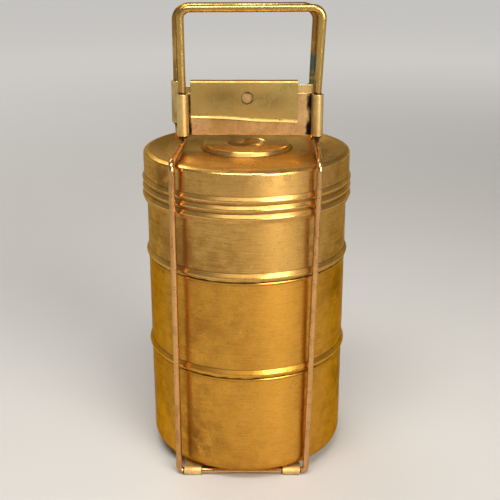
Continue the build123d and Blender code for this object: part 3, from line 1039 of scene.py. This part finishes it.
def old_brass():
    """Group: aged metal. A brown film lies on it in broad and fine patches. Black oxide lies in
    scattered specks; black oxide and painted shade lie in hollows, and real stains and painted
    shade where the mesh is marked with stain. Edges are rubbed bright, and the second
    colour shows where the mesh is marked with a tone."""
    if "Old brass" in bpy.data.node_groups:
        return bpy.data.node_groups["Old brass"]
    colours = dict.fromkeys(("Metal", "Tone", "Film", "Oxide"))
    amounts = {"Film amount": 0.5, "Specks": 0.7, "Lines": 0.5, "Line depth": 0.5, "Roughness": 0.34}
    inputs = {**colours, **amounts, "Offset": (0.0, 0.0, 0.0)}
    outputs = {"Color": "Color", "Roughness": "Float", "Normal": "Vector"}
    tree, given, out = new_group("Old brass", inputs, outputs)
    place = vector_maths(tree, "ADD", object_place(tree), given["Offset"])
    marks = {
        name: new_node(tree, "Attribute", attribute_name=name).outputs["Fac"]
        for name in ("edge", "stain", "tone")
    }
    broad = noise(tree, place, 26.0, 4.0)
    patch = noise(tree, place, 120.0, 6.0, 0.62)
    grain = noise(tree, place, 1100.0, 3.0, 0.6)
    off_patch, off_grain = centred(tree, patch), centred(tree, grain)
    rubbed = step_of(tree, marks["edge"], 0.1, 1.0)
    # oxide and painted shade in the hollows, taken from the inward bends of each line
    hollow_oxide_and_shade = step_of(tree, times(tree, marks["edge"], -1.0), 0.1, 1.0)
    lines = times(tree, centred(tree, step_of(tree, given["Lines"], 0.34, 0.66)), given["Line depth"])
    uneven = summed(tree, times(tree, patch, 0.5), (broad, 0.5))
    film = times(tree, step_of(tree, uneven, 0.30, 0.70), given["Film amount"])
    film = summed(tree, film, (rubbed, -0.8), (lines, 0.35), (off_grain, 0.7))
    film = step_of(tree, film, -0.15, 1.0)
    cells = new_node(tree, "TexVoronoi", {"Vector": place, "Scale": 330.0}).outputs["Distance"]
    specks = maths(tree, "SUBTRACT", 1.0, step_of(tree, cells, 0.07, 0.15))
    specks = times(tree, specks, step_of(tree, noise(tree, place, 85.0, 2.0), 0.48, 0.60))
    specks = times(tree, specks, given["Specks"])
    # real stains and painted shade from the stain mark, broken up by the patches
    stain = step_of(tree, summed(tree, marks["stain"], (off_patch, 1.3)), 0.30, 0.80)
    stain = times(tree, stain, step_of(tree, marks["stain"], 0.02, 0.15))
    black = maths(tree, "MAXIMUM", maths(tree, "MAXIMUM", specks, stain), times(tree, hollow_oxide_and_shade, 0.6))
    warm = times(tree, marks["tone"], step_of(tree, patch, 0.25, 0.60))
    colour = mixed(tree, warm, given["Metal"], given["Tone"])
    colour = mixed(tree, film, colour, given["Film"])
    colour = mixed(tree, black, colour, given["Oxide"])
    rough = summed(tree, given["Roughness"], (film, 0.10), (off_patch, 0.45), (off_grain, 0.20))
    rough = summed(tree, rough, (lines, 0.07), (rubbed, -0.15), (black, 0.25))
    height = summed(tree, times(tree, grain, 0.008), (patch, 0.045), (lines, 0.010), (specks, -0.03))
    bump = new_node(tree, "Bump", {"Strength": 1.0, "Distance": MM, "Height": height}).outputs[0]
    for name, value in (("Color", colour), ("Roughness", rough), ("Normal", bump)):
        tree.links.new(value, out[name])
    return tree


def place_group(tree, group, inputs=None):
    """Adds a node group to a material with its own values, and gives its outputs."""
    return new_node(tree, "Group", inputs, node_tree=group).outputs


def opaque(colour):
    """A colour with its fourth number."""
    return (*colour, 1.0)


def new_material(name):
    """A new material with its node tree and its shader."""
    material = bpy.data.materials.new(name)
    material.use_nodes = True
    return material, material.node_tree, material.node_tree.nodes["Principled BSDF"]


def brass(name, colour, seed, lines, depth, film=0.5, specks=0.7, rough=0.34, tone=None, oxide="oxide"):
    """Material of old brass on one of the user's colours. Its pattern is shifted by the seed."""
    colours = bpy.context.scene.carrier_colours
    material, tree, shader = new_material(name)
    metal = getattr(colours, colour)
    given = {
        "Metal": opaque(metal),
        "Film": opaque([0.7 * a + 0.3 * b for a, b in zip(colours.film, metal)]),
        "Oxide": opaque(getattr(colours, oxide)),
        "Tone": opaque(getattr(colours, tone) if tone else metal),
        "Film amount": film,
        "Specks": specks,
        "Lines": place_group(tree, lines)["Lines"],
        "Line depth": depth,
        "Roughness": rough,
        "Offset": tuple(seed * shift for shift in PATTERN_SHIFT),
    }
    worn = place_group(tree, old_brass(), given)
    for ours, theirs in (("Color", "Base Color"), ("Roughness", "Roughness"), ("Normal", "Normal")):
        tree.links.new(worn[ours], shader.inputs[theirs])
    shader.inputs["Metallic"].default_value = 1.0
    shader.inputs["Specular Tint"].default_value = opaque([0.9 * v**0.4 for v in metal])
    return material, tree, shader


def turned_brass(name, colour, seed, depth=0.9, film=0.75):
    """Brass with fine lines round the axis, which draw its highlights up and down the wall."""
    material, tree, shader = brass(name, colour, seed, turning_lines(), depth, film, tone="film")
    shader.inputs["Anisotropic"].default_value = 0.55
    shader.inputs["Anisotropic Rotation"].default_value = 0.25
    tangent = new_node(tree, "Tangent", direction_type="RADIAL", axis="Z")
    tree.links.new(tangent.outputs[0], shader.inputs["Tangent"])
    return material


def wire_brass(name, colour, seed, film=1.0, oxide="oxide"):
    """Brass of the drawn wires, smooth and rubbed up and down."""
    return brass(name, colour, seed, rubbed_lines(), 1.0, film, specks=0.9, rough=0.27, oxide=oxide)[0]


def sheet_brass(name, colour, seed, tone=None, film=0.9, rough=0.37):
    """Brass of the bent sheets, mottled and rougher, with a second tone in the marked places."""
    return brass(name, colour, seed, rubbed_lines(), 0.15, film, specks=1.0, rough=rough, tone=tone)[0]


def solder_metal():
    """Dark oxidised solder, dull and lumpy."""
    if "dark solder" in bpy.data.materials:
        return bpy.data.materials["dark solder"]
    material, _, shader = brass("dark solder", "oxide", 71, rubbed_lines(), 0.2, 0.3, 0.2, rough=0.55)
    shader.inputs["Metallic"].default_value = 0.4
    return material


def seen_rays(tree):
    """One for rays of the camera, of gloss and through glass, and nought for the rest."""
    rays = new_node(tree, "LightPath").outputs
    seen = maths(tree, "MAXIMUM", rays["Is Camera Ray"], rays["Is Glossy Ray"])
    return maths(tree, "MAXIMUM", seen, rays["Is Transmission Ray"])


def even_light(strength):
    """World of one plain strength, made paler near the horizon for the rays that see it."""
    world = bpy.data.worlds.new("even light")
    world.use_nodes = True
    tree = world.node_tree
    outward = new_node(tree, "TexCoord").outputs["Generated"]
    upward = new_node(tree, "SeparateXYZ", {0: outward})
    low = maths(tree, "SUBTRACT", 1.0, step_of(tree, upward.outputs["Z"], 0.05, 0.32))
    pale = summed(tree, strength, (times(tree, seen_rays(tree), low), HORIZON_GLOW))
    background = tree.nodes["Background"]
    background.inputs["Color"].default_value = opaque(LAMP_WHITE)
    tree.links.new(pale, background.inputs["Strength"])
    return world


def floor_paint():
    """Plain pale floor, matt, with a barely visible unevenness. Far from the object, where the
    lamps hardly reach, it is made pale for rays of the camera, of gloss and through glass."""
    colours = bpy.context.scene.carrier_colours
    material, tree, shader = new_material("floor paint")
    place = object_place(tree)
    pale = opaque(colours.floor)
    dim = opaque([0.965 * v for v in colours.floor])
    tree.links.new(mixed(tree, noise(tree, place, 6.0, 5.0), dim, pale), shader.inputs["Base Color"])
    shader.inputs["Roughness"].default_value = 0.7
    shader.inputs["Specular IOR Level"].default_value = 0.3
    far = vector_maths(tree, "LENGTH", place)
    glow = times(tree, seen_rays(tree), step_of(tree, far, 0.5, 2.0))
    tree.links.new(times(tree, glow, FAR_GLOW), shader.inputs["Emission Strength"])
    shader.inputs["Emission Color"].default_value = opaque(LAMP_WHITE)
    return material


# Stage


def add_lamp(name, place, size, power, colour, spread=180):
    """Square lamp that faces the middle of the stack, its light kept within an angle in degrees."""
    light = bpy.data.lights.new(name, "AREA")
    light.shape = "RECTANGLE"
    light.size, light.size_y = size
    light.energy = power
    light.spread = math.radians(spread)
    light.color = colour
    lamp = add_object(name, light)
    lamp.location = place
    aim = Vector((0, 0, LAMPS_AIM_Z)) - lamp.location
    lamp.rotation_euler = aim.to_track_quat("-Z", "Y").to_euler()


class TIFFIN_OT_stage(bpy.types.Operator):
    """Lay the floor, hang the lamps and set the camera"""

    bl_idname = "tiffin.add_stage"
    bl_label = "Add stage"

    def execute(self, context):
        scene = context.scene
        studio = scene.studio_settings
        reach = 10.0
        mesh = bpy.data.meshes.new("floor")
        corners = [(-reach, -reach, 0), (reach, -reach, 0), (reach, reach, 0), (-reach, reach, 0)]
        mesh.from_pydata(corners, [], [(0, 1, 2, 3)])
        mesh.materials.append(floor_paint())
        floor = add_object("floor", mesh)
        warm = (1.0, 0.96, 0.90)
        add_lamp("key lamp", (0.66, -0.97, 0.62), (0.65, 0.60), studio.key, warm, spread=85)
        add_lamp("top lamp", (-0.10, -0.50, 1.15), (0.7, 0.4), studio.fill, LAMP_WHITE)
        add_lamp("rear lamp", (-0.60, 0.95, 1.15), (0.8, 0.5), studio.rear, LAMP_WHITE)
        scene.world = even_light(studio.sky)
        lens = bpy.data.cameras.new("camera")
        lens.lens = studio.lens
        lens.clip_start = 0.01
        camera = add_object("camera", lens)
        camera.location = (studio.aside, -studio.distance, studio.height)
        camera.rotation_euler = (math.pi / 2 - studio.pitch, 0, 0)
        scene.camera = camera
        scene.view_settings.view_transform = "Standard"
        return {"FINISHED"}


ROUND_STEPS = (TIFFIN_OT_containers, TIFFIN_OT_lid)
WIRE_STEPS = (TIFFIN_OT_side_rods, TIFFIN_OT_handles)
SHEET_STEPS = (TIFFIN_OT_brackets, TIFFIN_OT_latch, TIFFIN_OT_base, TIFFIN_OT_solder)
STEPS = (*ROUND_STEPS, *WIRE_STEPS, *SHEET_STEPS, TIFFIN_OT_stage)


class TIFFIN_PT_panel(bpy.types.Panel):
    """Steps, sizes and colours of the carrier"""

    bl_idname = "TIFFIN_PT_panel"
    bl_label = "Tiffin carrier"
    bl_space_type = "VIEW_3D"
    bl_region_type = "UI"
    bl_category = "Tiffin"

    def draw(self, context):
        for step in STEPS:
            self.layout.operator(step.bl_idname)
        for name in GROUPS:
            box = self.layout.box()
            for key in GROUPS[name].__annotations__:
                box.prop(getattr(context.scene, name), key)


GROUPS = {
    "carrier_sizes": CarrierSizes,
    "carrier_colours": CarrierColours,
    "studio_settings": StudioSettings,
}


def register():
    """Adds the classes and the settings to Blender."""
    for group in (*GROUPS.values(), *STEPS, TIFFIN_PT_panel):
        bpy.utils.register_class(group)
    for name, group in GROUPS.items():
        setattr(bpy.types.Scene, name, PointerProperty(type=group))


def unregister():
    """Takes them out again."""
    for name in GROUPS:
        delattr(bpy.types.Scene, name)
    for group in (TIFFIN_PT_panel, *reversed(STEPS), *GROUPS.values()):
        bpy.utils.unregister_class(group)


def main():
    """Builds everything in order."""
    register()
    for step in STEPS:
        family, name = step.bl_idname.split(".")
        getattr(getattr(bpy.ops, family), name)()


if __name__ == "__main__":
    main()
